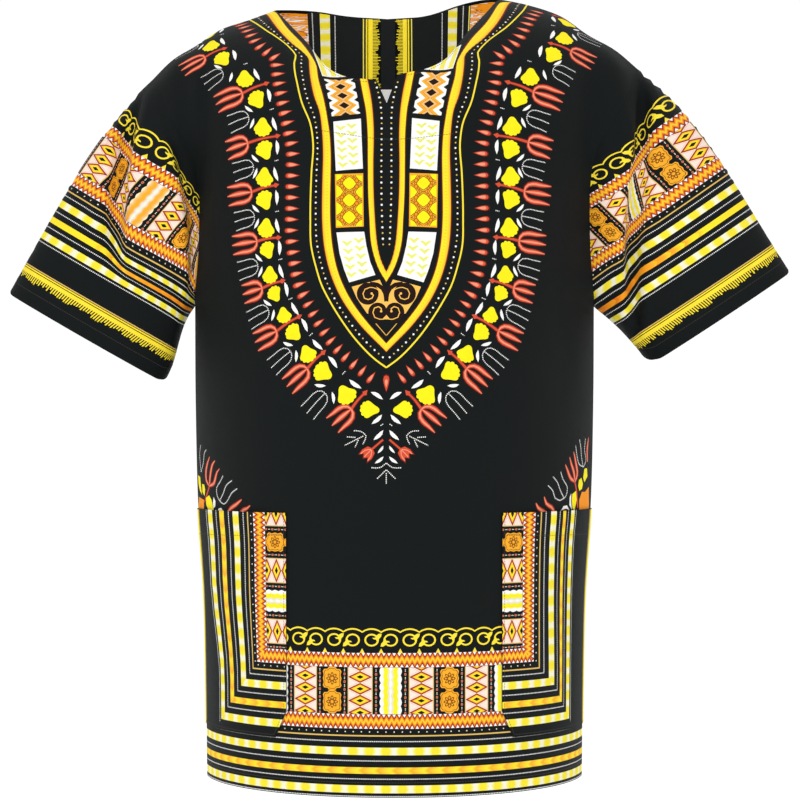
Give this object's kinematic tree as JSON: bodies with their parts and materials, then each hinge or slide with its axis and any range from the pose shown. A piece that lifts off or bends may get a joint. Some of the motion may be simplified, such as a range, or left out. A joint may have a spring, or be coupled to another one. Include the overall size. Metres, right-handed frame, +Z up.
{
  "type": "dashiki shirt",
  "caption": "Loose black dashiki shirt with short dropped sleeves, a round neck with a V slit, a printed yoke and large patch pockets, filled out as if worn.",
  "frame": {"origin": "between the shoulders, in the plane of the seams, at the height of the neck corners", "axes": "+Z up to the neck, the front faces -Y, +X to the right as seen from the front"},
  "size_m": [0.8324, 0.2988, 0.836],
  "materials": {
    "printed_cotton": "black cotton printed in yellow, gold, coral red and white",
    "pocket_cotton": "the same cotton, cut from the striped border",
    "facing_cotton": "the same cotton, inside the neck",
    "label": "plain white woven tape, blank"
  },
  "bodies": {
    "root": {"front": "printed_cotton", "back": "printed_cotton", "sleeve_left": "printed_cotton", "sleeve_right": "printed_cotton", "pocket_left": "pocket_cotton", "pocket_right": "pocket_cotton", "back_neck_facing": "facing_cotton", "label": "label"}
  },
  "joints": []
}
